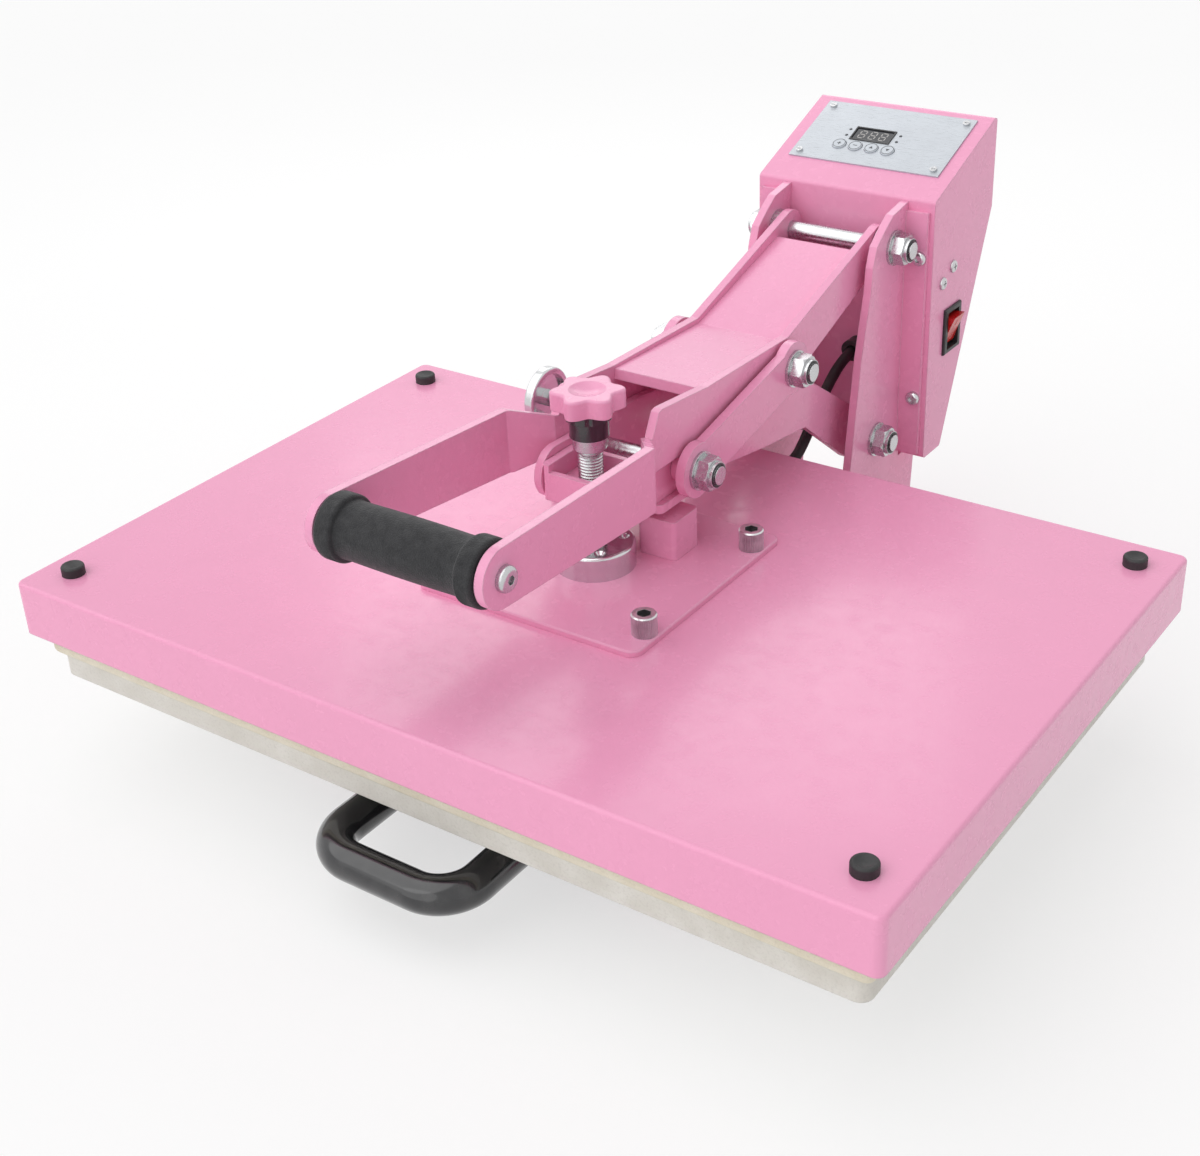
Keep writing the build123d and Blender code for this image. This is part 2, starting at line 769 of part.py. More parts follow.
def link_bar():
    """Flat bar from the lever's knee to the arm's toe, with round ends."""
    dy = knee_y - toe_y
    dz = knee_z - toe_z
    length = math.hypot(dy, dz)
    uy = dy / length
    uz = dz / length
    h = link_mid_half
    points = [(toe_y - uz * h, toe_z + uy * h), (knee_y - uz * h, knee_z + uy * h),
              (knee_y + uz * h, knee_z - uy * h), (toe_y + uz * h, toe_z - uy * h)]
    bar = side_profile(points, link_in_x, link_out_x)
    for y, z in ((knee_y, knee_z), (toe_y, toe_z)):
        bar = bar + bar_x(link_in_x, link_out_x, y, z, link_eye_r)
    boss_start = arm_in_x + arm_t + side_clear
    bar = bar + bar_x(boss_start, link_in_x, toe_y, toe_z, boss_r)
    for y, z in ((knee_y, knee_z), (toe_y, toe_z)):
        bar = bar - bar_x(boss_start - 1, link_out_x + 1, y, z, bolt_r + 0.02)
    return bar


def link_bolts():
    """The knee's through bolt, the two toe bolts, and their washers and nuts."""
    tip = link_out_x + washer_t + nut_t + nut_collar_t + bolt_proud
    pieces = [bar_x(-tip, tip, knee_y, knee_z, bolt_r)]
    toe_start = arm_in_x + arm_t + side_clear
    pieces = pieces + both_sides(bar_x(toe_start, tip, toe_y, toe_z, bolt_r))
    for y, z in ((knee_y, knee_z), (toe_y, toe_z)):
        pieces = pieces + both_sides(washer(link_out_x, y, z))
        pieces = pieces + both_sides(hex_nut(link_out_x + washer_t, y, z))
    return pieces


# Uprights and pivots

upright_out_x = upright_in_x + upright_t


def upright():
    """Tall side plate with the flange that the control box is screwed to."""
    points = [(box_front_y, upright_top_z + 0.5), (300.0, 288.0), (289.0, 281.0),
              (277.0, 272.0), (272.0, 258.0), (270.0, 240.0), (259.0, 195.0), (247.0, 115.0),
              (236.0, upright_foot_z), (upright_back_y - 6, upright_foot_z),
              (upright_back_y, box_low_z - 2.0), (box_front_y, box_low_z - 2.0)]
    web = side_profile(points, upright_in_x, upright_out_x)
    flange = block(upright_out_x, upright_out_x + upright_flange_w,
                   box_front_y - upright_flange_t, box_front_y, box_low_z + 4, upright_top_z - 5)
    body = web + flange
    foot = block(upright_in_x, upright_out_x + 26.0, 250.0, upright_back_y - 10,
                 upright_foot_z, upright_foot_z + 6.0)
    body = body + foot
    body = body - bar_x(upright_in_x - 1, upright_out_x + 1, lever_pivot_y, lever_pivot_z,
                        pivot_r + 0.02)
    body = body - bar_x(upright_in_x - 1, upright_out_x + 1, arm_pivot_y, arm_pivot_z,
                        pivot_r + 0.02)
    for z in flange_screw_zs:
        body = body - bar_y(box_front_y - 10, box_front_y + 1, flange_screw_x, z, 2.6)
    return body


def pivot_rods():
    """Upper and lower pivot rods with their turned-down threaded ends."""
    tip = upright_out_x + washer_t + nut_t + nut_collar_t + bolt_proud
    rods = []
    for y, z in ((lever_pivot_y, lever_pivot_z), (arm_pivot_y, arm_pivot_z)):
        rod = bar_x(-upright_out_x, upright_out_x, y, z, pivot_r)
        rods.append(rod + bar_x(-tip, tip, y, z, bolt_r))
    return rods


def pivot_washers():
    """Thick bright washers between the lever and the uprights."""
    x0 = lever_in_x + lever_t + side_clear
    t = upright_in_x - x0
    ring = washer(x0, lever_pivot_y, lever_pivot_z, 13.0, t, pivot_r + 0.02)
    return both_sides(ring)


def pivot_nuts():
    """Washers and lock nuts outside the uprights."""
    nuts = []
    for y, z in ((lever_pivot_y, lever_pivot_z), (arm_pivot_y, arm_pivot_z)):
        nuts = nuts + both_sides(washer(upright_out_x, y, z))
        nuts = nuts + both_sides(hex_nut(upright_out_x + washer_t, y, z))
    return nuts


# Control box

slope = math.degrees(math.atan2(box_back_top_z - box_front_top_z, box_back_top_y - box_front_y))
panel_mid_y = (box_front_y + box_back_top_y) / 2
panel_mid_z = (box_front_top_z + box_back_top_z) / 2


def on_panel(x, along, up):
    """A place on the sloped top: across, up the slope and out of its face."""
    return Pos(0, panel_mid_y, panel_mid_z) * Rot(slope, 0, 0) * Pos(x, along, up)


def box_outline(inset):
    """The side outline of the box, moved inward by a wall."""
    i = inset
    lean = (box_back_top_y - box_low_y) / (box_back_mid_z - box_low_z)
    return [(box_front_y + i, box_low_z + i), (box_front_y + i, box_front_top_z - i * 0.65),
            (box_back_top_y - i, box_back_top_z - i * 1.35),
            (box_back_top_y - i, box_back_mid_z + i * 0.2),
            (box_low_y - i + lean * i, box_low_z + i)]


def control_box():
    """Folded sheet box, open at the back, that holds the controller."""
    shell = side_profile(box_outline(0), -box_half_w, box_half_w)
    edges = shell.edges().filter_by(Axis.X)
    shell = fillet(edges, box_corner_r)
    inner = side_profile(box_outline(box_wall), -box_half_w + box_wall, box_half_w - box_wall)
    shell = shell - inner
    opening = side_profile([(box_back_top_y - 20, box_back_mid_z - 12),
                            (box_back_top_y + 20, box_back_mid_z - 12),
                            (box_back_top_y + 20, box_low_z + 22),
                            (box_low_y - 12, box_low_z + 22)],
                           -box_half_w + 8, box_half_w - 8)
    shell = shell - opening
    shell = shell - switch_hole()
    shell = shell - on_panel(display_x, display_row, 0) * Box(display_w, display_h, 12)
    for x in key_places():
        shell = shell - on_panel(x, key_row, 0) * Cylinder(key_r - 1.0, 12)
    shell = shell - bar_y(box_front_y - 5, box_front_y + 5, cable_x, cable_box_z, gland_r - 2)
    for z in flange_screw_zs:
        for side in (-1, 1):
            shell = shell - bar_y(box_front_y - 5, box_front_y + 5, side * flange_screw_x, z, 2.1)
    for y, z in side_screws:
        shell = shell - bar_x(box_half_w - 5, box_half_w + 5, y, z, 2.1)
    for x in (-1, 1):
        for along in (-1, 1):
            shell = shell - on_panel(*corner_spot(x, along), 0) * Cylinder(1.6, 12)
    return shell


def switch_hole():
    """The cut-out in the right wall for the power switch."""
    return block(box_half_w - 5, box_half_w + 5, switch_y - switch_w / 2 + 2.5,
                 switch_y + switch_w / 2 - 2.5, switch_z - switch_len / 2 + 2.5,
                 switch_z + switch_len / 2 - 2.5)


def corner_spot(x, along):
    """Where a corner screw of the panel lies, for signs x and along."""
    return x * (panel_half_w - 6), panel_up + along * (panel_len / 2 - 6)


def key_places():
    """Where the four keys lie across the panel."""
    return [key_mid_x + (i - 1.5) * key_gap_x for i in range(4)]


back_t = 1.5


def box_back():
    """Flat back plate of the box with cooling slots and the hole of the mains inlet."""
    lean = math.degrees(math.atan2(box_back_top_y - box_low_y, box_back_mid_z - box_low_z))
    length = math.hypot(box_back_top_y - box_low_y, box_back_mid_z - box_low_z)
    mid = Pos(0, (box_back_top_y + box_low_y) / 2, (box_back_mid_z + box_low_z) / 2)
    tilt = Rot(-lean, 0, 0)
    plate = mid * tilt * Pos(0, back_t / 2 + 0.05, 0) * Box(2 * box_half_w - 4, back_t,
                                                            length - 12)
    for row in range(5):
        slot = mid * tilt * Pos(0, 0, 20 + row * 9) * Box(70, 12, 3.4)
        plate = plate - slot
    hole = mid * tilt * Pos(0, 0, -40) * Box(inlet_w - 4, 20, inlet_h - 4)
    return plate - hole


inlet_w = 31.0
inlet_h = 25.0


def mains_inlet():
    """Three-pin mains inlet in the back plate."""
    lean = math.degrees(math.atan2(box_back_top_y - box_low_y, box_back_mid_z - box_low_z))
    mid = Pos(0, (box_back_top_y + box_low_y) / 2, (box_back_mid_z + box_low_z) / 2)
    spot = mid * Rot(-lean, 0, 0) * Pos(0, 0, -40)
    face = spot * Pos(0, back_t + 0.05 + 1.25, 0) * Box(inlet_w, 2.5, inlet_h)
    body = spot * Pos(0, -6.0, 0) * Box(inlet_w - 5, 17, inlet_h - 5)
    inlet = face + body
    cavity = spot * Pos(0, -2.0, 0) * Box(inlet_w - 8, 16, inlet_h - 9)
    inlet = inlet - cavity
    for x, z in ((-7, -2), (0, 3), (7, -2)):
        inlet = inlet + spot * Pos(x, -7.0, z) * Box(2.0, 12.0, 4.5)
    return inlet


def panel_plate():
    """Silver face plate on the sloped top."""
    plate = on_panel(0, panel_up, panel_t / 2) * Box(2 * panel_half_w, panel_len, panel_t)
    plate = plate - on_panel(display_x, display_row, 0) * Box(display_w, display_h, 12)
    for x in key_places():
        plate = plate - on_panel(x, key_row, 0) * Cylinder(key_r + 0.25, 12)
    for x in (-1, 1):
        for along in (-1, 1):
            hole = on_panel(*corner_spot(x, along), 0)
            plate = plate - hole * Cylinder(1.6, 12)
    return plate


def panel_screws():
    """Four small pan-head screws at the corners of the face plate."""
    screws = []
    for x in (-1, 1):
        for along in (-1, 1):
            spot = corner_spot(x, along)
            head = on_panel(spot[0], spot[1], panel_t + 0.8) * Cylinder(panel_screw_r, 1.6)
            slot = on_panel(spot[0], spot[1], panel_t + 1.4) * Box(3.4, 0.7, 1.0)
            shank = on_panel(spot[0], spot[1], panel_t / 2 - 3.0) * Cylinder(1.5, 6.0 + panel_t)
            screws.append(head - slot + shank)
    return screws


def display_module():
    """Black digit window, standing in the slot of the panel."""
    window = on_panel(display_x, display_row, -3.0) * Box(display_w - 0.4, display_h - 0.4, 8.0)
    rim = on_panel(display_x, display_row, -box_wall - 3.2) * Box(display_w + 8, display_h + 6, 4.0)
    return window + rim


def panel_key(index):
    """One round key that sinks by its travel, on a stem."""
    x = key_places()[index]
    cap = on_panel(x, key_row, key_travel + 0.1 + key_cap_h / 2) * Cylinder(key_r, key_cap_h)
    cap = fillet(cap.edges().group_by(Axis.Z)[-1], 0.4)
    stem_h = 7.0
    stem = on_panel(x, key_row, key_travel + 0.1 - stem_h / 2) * Cylinder(key_r - 2.0, stem_h)
    return cap + stem


def switch_bezel():
    """Black housing of the power switch in the right wall."""
    x0 = box_half_w
    rim = block(x0, x0 + switch_bezel_t, switch_y - switch_w / 2, switch_y + switch_w / 2,
                switch_z - switch_len / 2, switch_z + switch_len / 2)
    rim = chamfer(rim.edges().group_by(Axis.X)[-1], 0.8)
    body = block(x0 - switch_depth, x0, switch_y - switch_w / 2 + 3, switch_y + switch_w / 2 - 3,
                 switch_z - switch_len / 2 + 3, switch_z + switch_len / 2 - 3)
    well = block(x0 - 11, x0 + 5, switch_y - rocker_w / 2 - rocker_clear,
                 switch_y + rocker_w / 2 + rocker_clear, switch_z - rocker_len / 2 - 1.2,
                 switch_z + rocker_len / 2 + 1.2)
    pin = bar_y(switch_y - rocker_w / 2 - 1.5, switch_y + rocker_w / 2 + 1.5, rocker_pivot_x,
                switch_z, rocker_pin_r)
    return rim + body - well + pin



def switch_rocker():
    """Red rocker with its two faces in a shallow V, upper half standing out."""
    half = rocker_len / 2 - 0.6
    points = [(rocker_pivot_x + 10.0, half - 1.4), (rocker_pivot_x + 5.2, -1.0),
              (rocker_pivot_x + 2.0, -half + 1.0), (rocker_pivot_x - 2.0, -half + 1.6),
              (rocker_pivot_x - 3.4, 0.0), (rocker_pivot_x - 1.0, half - 2.2)]
    face = make_face(Polyline(*[(x, switch_z + z) for x, z in points], close=True))
    y0 = switch_y - rocker_w / 2
    rocker = Pos(0, y0 + rocker_w, 0) * extrude(Plane.XZ * face, rocker_w)
    return rocker - bar_y(y0 - 1, y0 + rocker_w + 1, rocker_pivot_x, switch_z,
                          rocker_pin_r + run_fit)


def box_screws():
    """Button heads in the flanges and two cross-head screws in the right wall."""
    screws = []
    for z in flange_screw_zs:
        for side in (-1, 1):
            x = side * flange_screw_x
            y0 = box_front_y - upright_flange_t
            head = bar_y(y0 - 4.0, y0, x, z, 5.2)
            head = fillet(head.edges().group_by(Axis.Y)[0], 2.4)
            socket = Pos(x, y0 - 4.5, z) * Rot(90, 0, 0) * extrude(RegularPolygon(2.2, 6), 2.0,
                                                                  both=True)
            screws.append(head - socket + bar_y(y0, box_front_y + 6, x, z, 2.0))
    for y, z in side_screws:
        head = bar_x(box_half_w, box_half_w + 2.2, y, z, 4.6)
        head = fillet(head.edges().group_by(Axis.X)[-1], 1.6)
        cross = block(box_half_w + 1.2, box_half_w + 4, y - 2.4, y + 2.4, z - 0.5, z + 0.5)
        cross = cross + block(box_half_w + 1.2, box_half_w + 4, y - 0.5, y + 0.5, z - 2.4, z + 2.4)
        screws.append(head - cross + bar_x(box_half_w - 8, box_half_w, y, z, 2.0))
    return screws


def control_board():
    """Circuit board under the panel, on four pillars, with its parts."""
    board = on_panel(0, 0, -12.0) * Box(104, 70, 1.6)
    for x in (-1, 1):
        for along in (-1, 1):
            pillar = on_panel(x * 47, along * 30, (-12.0 - box_wall) / 2)
            board = board + pillar * Cylinder(2.5, 12.0 - box_wall)
    board = board + on_panel(20, 8, -17.0) * Box(28, 22, 9.0)
    board = board + on_panel(-24, 10, -16.0) * Box(20, 16, 7.0)
    return board + on_panel(-10, -22, -15.5) * Cylinder(6.0, 6.0)


def relay_module():
    """Solid-state relay on its cooling plate, screwed to the right wall."""
    x1 = box_half_w - box_wall
    y_mid = (side_screws[0][0] + side_screws[1][0]) / 2
    z_mid = (side_screws[0][1] + side_screws[1][1]) / 2
    sink = block(x1 - 4.0, x1, y_mid - 15, y_mid + 20, z_mid - 12, z_mid + 26)
    relay = block(x1 - 24.0, x1 - 4.0, y_mid - 11, y_mid + 12, z_mid - 8, z_mid + 22)
    body = sink + relay
    for y, z in side_screws:
        body = body - bar_x(x1 - 9, x1 + 1, y, z, 2.1)
    return body


# Heater cable

def cable_glands():
    """Two ribbed bushes: one in the box and one in the cover's rear wall."""
    y0 = box_front_y
    box_gland = bar_y(y0 - gland_len, y0, cable_x, cable_box_z, gland_r)
    box_gland = box_gland + bar_y(y0, y0 + 5, cable_x, cable_box_z, gland_r - 2.2)
    return box_gland - bar_y(y0 - gland_len - 1, y0 + 6, cable_x, cable_box_z, cable_r + 0.02)


def platen_gland():
    """The bush in the rear wall of the cover."""
    y0 = cover_d / 2
    gland = bar_y(y0, y0 + gland_len, cable_x, platen_cable_z, gland_r)
    gland = gland + bar_y(y0 - 4, y0, cable_x, platen_cable_z, gland_r - 2.2)
    return gland - bar_y(y0 - 5, y0 + gland_len + 1, cable_x, platen_cable_z, cable_r + 0.02)


cable_route = [(cable_x, box_front_y + 4.0, cable_box_z), (cable_x, 301.0, cable_box_z),
               (cable_x, 270.0, 157.0), (cable_x, 246.0, 132.0),
               (cable_x, 228.0, platen_cable_z), (cable_x, cover_d / 2 - 3.0, platen_cable_z)]


def heater_cable():
    """Black cable from the box to the heated platen, over the lower pivot."""
    path = FilletPolyline(*cable_route, radius=cable_bend_radii())
    start = Plane(origin=cable_route[0], z_dir=(0, -1, 0))
    return sweep(start * Circle(cable_r), path=path)


def cable_bend_radii():
    """Each bend as wide as its two runs allow."""
    radii = []
    for i in range(1, len(cable_route) - 1):
        before = Vector(*cable_route[i]) - Vector(*cable_route[i - 1])
        after = Vector(*cable_route[i + 1]) - Vector(*cable_route[i])
        turn = math.radians(before.get_angle(after))
        radii.append(0.45 * min(before.length, after.length) / math.tan(turn / 2))
    return radii


def check_cable(solid):
    """Compare the cable's volume with its section times its length."""
    length = FilletPolyline(*cable_route, radius=cable_bend_radii()).length
    section = math.pi * cable_r ** 2
    print("cable length", round(length, 1), "radii", [round(r, 1) for r in cable_bend_radii()])
    print("cable volume ratio", round(solid.volume / (length * section), 4))


# Outline in Y, and the shift to the middle of the outline

front_y = drawer_front_y - drawer_plate_t - handle_reach - handle_tube_r
rear_y = box_back_top_y
shift_y = -(front_y + rear_y) / 2


def place(name, pieces):
    """Write one node, moved to the part's own frame."""
    group = pieces if isinstance(pieces, list) else [pieces]
    solids = []
    for piece in group:
        moved = Pos(0, shift_y, 0) * piece
        solids = solids + list(moved.solids())
    shape = solids[0] if len(solids) == 1 else Compound(children=solids)
    export_step(shape, "parts/" + name + ".step")


def main():
    os.makedirs("parts", exist_ok=True)
    right_lever = lever_plate()
    right_arm = arm_plate()
    right_link = link_bar()
    right_upright = upright()
    cable = heater_cable()
    check_cable(cable)
    nodes = {
        "base_frame": base_frame(), "rubber_feet": rubber_feet(), "slide_rails": slide_rails(),
        "drawer_runners": drawer_runners(), "drawer_frame": drawer_frame(),
        "drawer_handle": drawer_handle(), "lower_platen": lower_platen(),
        "silicone_pad": silicone_pad(), "platen_cover": platen_cover(),
        "heat_plate": heat_plate(), "heating_element": heating_element(),
        "insulation_blanket": insulation(), "corner_caps": corner_caps(),
        "mount_plate": mount_plate(), "mount_screws": mount_screws(),
        "pressure_disc": pressure_disc(), "guide_posts": guide_posts(),
        "guide_pins": guide_pins(), "pressure_screw": pressure_screw(),
        "knob_hub": knob_hub(), "star_knob": star_knob(), "arm_plate_right": right_arm,
        "arm_plate_left": mirrored(right_arm), "arm_cross_plate": arm_cross_plate(),
        "arm_axle": arm_axle(), "swivel_block": swivel_block(), "swivel_bolts": swivel_bolts(),
        "lever_plate_right": right_lever, "lever_plate_left": mirrored(right_lever),
        "lever_cover": lever_cover(), "handle_tube": handle_tube(), "foam_grip": foam_grip(),
        "handle_bolts": handle_bolts(), "stop_disc": stop_disc(),
        "link_bar_right": right_link, "link_bar_left": mirrored(right_link),
        "link_bolts": link_bolts(), "upright_right": right_upright,
        "upright_left": mirrored(right_upright), "pivot_rods": pivot_rods(),
        "pivot_washers": pivot_washers(), "pivot_nuts": pivot_nuts(),
        "control_box": control_box(), "box_back": box_back(), "mains_inlet": mains_inlet(),
        "panel_plate": panel_plate(), "panel_screws": panel_screws(),
        "display_module": display_module(), "switch_bezel": switch_bezel(),
        "switch_rocker": switch_rocker(), "box_screws": box_screws(),
        "control_board": control_board(), "relay_module": relay_module(),
        "box_gland": cable_glands(), "platen_gland": platen_gland(), "heater_cable": cable,
    }
    for index in range(4):
        nodes["panel_key_" + str(index + 1)] = panel_key(index)
    for name, pieces in nodes.items():
        place(name, pieces)
    print(len(nodes), "nodes; origin shift along Y", round(shift_y, 3))


main()
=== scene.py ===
import json
import math
import bmesh
import bpy
from mathutils import Matrix, Vector


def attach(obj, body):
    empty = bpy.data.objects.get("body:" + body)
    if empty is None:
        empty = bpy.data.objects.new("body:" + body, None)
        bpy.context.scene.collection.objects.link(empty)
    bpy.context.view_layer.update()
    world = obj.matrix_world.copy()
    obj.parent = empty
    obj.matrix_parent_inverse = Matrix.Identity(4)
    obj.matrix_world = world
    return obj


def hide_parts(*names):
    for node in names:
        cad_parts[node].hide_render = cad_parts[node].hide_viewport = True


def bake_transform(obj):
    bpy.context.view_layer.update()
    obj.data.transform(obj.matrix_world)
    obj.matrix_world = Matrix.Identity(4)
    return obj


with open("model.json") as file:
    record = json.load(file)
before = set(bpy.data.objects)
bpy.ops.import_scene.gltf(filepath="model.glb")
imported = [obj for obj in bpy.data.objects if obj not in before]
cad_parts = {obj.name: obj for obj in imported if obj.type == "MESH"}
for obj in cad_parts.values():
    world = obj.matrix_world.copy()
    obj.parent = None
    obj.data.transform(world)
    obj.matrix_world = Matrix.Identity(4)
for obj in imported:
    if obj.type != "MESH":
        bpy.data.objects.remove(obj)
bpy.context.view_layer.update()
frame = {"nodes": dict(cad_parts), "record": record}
nodes = frame["nodes"]
scene = bpy.context.scene

# Places in mm. Y is counted from the plate's middle, and the part's own Y is that plus SHIFT.
SHIFT = -94.25
PAD_HALF_X = 300.0
PAD_HALF_Y = 195.0
PAD_LOW_Z = 84.2
PAD_CORNER_R = 5.0
PAD_STEP = 12.0
GRIP_Y = -165.0
GRIP_Z = 230.5
GRIP_HALF = 55.6
GRIP_BORE_R = 10.2
COLLAR_W = 10.4
COLLAR_ROUND = 2.4
COLLAR_R = 20.0
WAIST_R = 17.0
CABLE_X = 14
CABLE_R = 4.0
MOUNT_MID_Y = 8.0
MOUNT_SCREW_X = 74.0
MOUNT_SCREW_Y = 61.0
PANEL_LOW = (322.6, 293.9)
PANEL_HIGH = (418.5, 330.9)
DISPLAY_X = -7.5
DISPLAY_ROW = 7.7
KEY_MID_X = -8.2
KEY_GAP_X = 13.0
KEY_ROW = -6.8
KEY_TOP = 2.16
LAMPS = ((-27.5, 11.4), (-27.5, 4.4), (13.0, 11.4), (13.0, 4.4))
ROCKER = (67.7, 358.0, 189.0)
# Each lock nut: Y and Z of its axis, X of its collar, and the body that it is on.
LOCK_NUTS = ((303.0, 264.0, 61.0, "frame"), (285.0, 124.0, 61.0, "frame"),
             (169.0, 222.0, 58.2, "link"), (52.0, 197.0, 58.2, "link"))
FLOOR_HALF = 14.0       # metres
FLOOR_WHITE = 0.62      # share of plain white that the camera sees in the floor
WORLD_LIGHT = 0.52


# Camera, from the fit to the photograph

CAMERA_ANGLES = (36.303, 29.537, -2.654)      # turn, lift and roll in degrees
CAMERA_AIM = (0.009725, -0.101527, 0.138)
CAMERA_DISTANCE = 1.151456
CAMERA_LENS = 55.22


def make_camera():
    turn, lift, roll = (math.radians(v) for v in CAMERA_ANGLES)
    back = Vector((math.sin(turn) * math.cos(lift), -math.cos(turn) * math.cos(lift),
                   math.sin(lift)))
    right = (-back).cross(Vector((0, 0, 1))).normalized()
    up = right.cross(-back)
    rolled_right = math.cos(roll) * right + math.sin(roll) * up
    rolled_up = -math.sin(roll) * right + math.cos(roll) * up
    place = Matrix((rolled_right, rolled_up, back)).transposed().to_4x4()
    place.translation = Vector(CAMERA_AIM) + back * CAMERA_DISTANCE
    data = bpy.data.cameras.new("camera")
    data.lens = CAMERA_LENS
    data.sensor_width = 36.0
    data.sensor_fit = "HORIZONTAL"
    camera = bpy.data.objects.new("camera", data)
    scene.collection.objects.link(camera)
    camera.matrix_world = place
    scene.camera = camera


make_camera()


# Materials

class Graph:
    """A material's nodes, with short ways to add and join them."""

    def __init__(self, name):
        self.material = bpy.data.materials.new(name)
        self.material.use_nodes = True
        self.tree = self.material.node_tree
        self.tree.nodes.clear()
        self.out = self.tree.nodes.new("ShaderNodeOutputMaterial")
        self.shader = self.add("ShaderNodeBsdfPrincipled")
        self.join(self.shader.outputs[0], self.out.inputs["Surface"])
        self.coords = self.add("ShaderNodeTexCoord").outputs["Object"]

    def add(self, kind, **values):
        node = self.tree.nodes.new(kind)
        for key, value in values.items():
            setattr(node, key, value)
        return node

    def join(self, a, b):
        self.tree.links.new(a, b)

    def stretched(self, scale):
        mapping = self.add("ShaderNodeMapping")
        mapping.inputs["Scale"].default_value = scale
        self.join(self.coords, mapping.inputs["Vector"])
        return mapping.outputs[0]

    def noise(self, scale, detail=2.0, rough=0.5, stretch=None):
        node = self.add("ShaderNodeTexNoise")
        node.inputs["Scale"].default_value = scale
        node.inputs["Detail"].default_value = detail
        node.inputs["Roughness"].default_value = rough
        self.join(self.stretched(stretch) if stretch else self.coords, node.inputs["Vector"])
        return node.outputs[0]

    def span(self, value, low, high, start=0.3, end=0.7):
        node = self.add("ShaderNodeMapRange")
        for key, number in (("From Min", start), ("From Max", end), ("To Min", low),
                            ("To Max", high)):
            node.inputs[key].default_value = number
        self.join(value, node.inputs["Value"])
        return node.outputs[0]

    def blend(self, factor, a, b):
        node = self.add("ShaderNodeMix", data_type="RGBA")
        self.join(factor, node.inputs[0])
        for socket, value in ((node.inputs[6], a), (node.inputs[7], b)):
            if isinstance(value, (tuple, list)):
                socket.default_value = (*value[:3], 1.0)
            else:
                self.join(value, socket)
        return node.outputs[2]

    def maths(self, kind, a, b=None):
        node = self.add("ShaderNodeMath", operation=kind)
        for socket, value in zip(node.inputs, (a, b)):
            if value is None:
                continue
            if isinstance(value, (int, float)):
                socket.default_value = value
            else:
                self.join(value, socket)
        return node.outputs[0]

    def bump(self, height, strength, distance, normal=None):
        node = self.add("ShaderNodeBump")
        node.inputs["Strength"].default_value = strength
        node.inputs["Distance"].default_value = distance
        self.join(height, node.inputs["Height"])
        if normal is not None:
            self.join(normal, node.inputs["Normal"])
        return node.outputs[0]

    def soft_edges(self, radius):
        node = self.add("ShaderNodeBevel", samples=4)
        node.inputs["Radius"].default_value = radius
        return node.outputs[0]

    def edge_mask(self, soft):
        """1 near an edge and 0 on flat places."""
        geometry = self.add("ShaderNodeNewGeometry")
        dot = self.add("ShaderNodeVectorMath", operation="DOT_PRODUCT")
        self.join(soft, dot.inputs[0])
        self.join(geometry.outputs["Normal"], dot.inputs[1])
        return self.span(dot.outputs["Value"], 1.0, 0.0, 0.80, 0.995)

    def set(self, **values):
        for key, value in values.items():
            socket = self.shader.inputs[key.replace("_", " ")]
            if isinstance(value, tuple):
                socket.default_value = (*value, 1.0)
            elif isinstance(value, (int, float)):
                socket.default_value = value
            else:
                self.join(value, socket)
        return self.material


def shade(color, factor):
    return tuple(max(0.0, min(1.0, c * factor)) for c in color)


def painted(name, color, rough=0.24, peel=0.08, edge=0.0011, edge_highlight=0.45):
    """Powder coat: orange peel, faint mottling, and a painted highlight that pales the rounded
    edges.
    """
    g = Graph(name)
    soft = g.soft_edges(edge)
    mottle = g.span(g.noise(38.0, 4.0), 0.0, 1.0)
    base = g.blend(mottle, shade(color, 0.99), shade(color, 1.008))
    fleck = g.span(g.noise(2600.0, 1.0), 0.0, 0.07, 0.62, 0.74)
    base = g.blend(fleck, base, shade(color, 1.12))
    # Painted highlight: rounded edges are mixed towards a paler colour, as if light catches them.
    edge_highlight_mask = g.maths("MULTIPLY", g.edge_mask(soft), edge_highlight)
    base = g.blend(edge_highlight_mask, base, tuple(0.5 * c + 0.5 for c in color))
    coarse = g.bump(g.noise(420.0, 2.0), peel * 0.5, 0.0004, soft)
    fine = g.bump(g.noise(1500.0, 2.0), peel, 0.00025, coarse)
    roughness = g.span(g.noise(90.0, 3.0), rough - 0.05, rough + 0.07)
    return g.set(Base_Color=base, Roughness=roughness, Normal=fine, Coat_Weight=0.12,
                 Coat_Roughness=0.10, Specular_IOR_Level=0.35)


def metal(name, color, rough=0.28, brush=(1.0, 1.0, 1.0), lines=600.0, depth=0.25, edge=0.0004,
          stain=0.10, metallic=1.0):
    """Bare or plated metal with fine brush marks, a stained finish and a painted highlight along
    its edges.
    """
    g = Graph(name)
    soft = g.soft_edges(edge)
    stains = g.span(g.noise(45.0, 4.0), 0.0, 1.0)
    base = g.blend(stains, shade(color, 1.0 - stain), shade(color, 1.0 + 0.5 * stain))
    # Painted highlight: edges are mixed towards a lighter colour.
    base = g.blend(g.maths("MULTIPLY", g.edge_mask(soft), 0.4), base, shade(color, 1.25))
    marks = g.noise(lines, 3.0, 0.6, brush)
    normal = g.bump(marks, depth, 0.0002, soft)
    roughness = g.span(g.noise(lines * 0.5, 2.0, 0.5, brush), rough - 0.08, rough + 0.10)
    return g.set(Base_Color=base, Metallic=metallic, Roughness=roughness, Normal=normal)


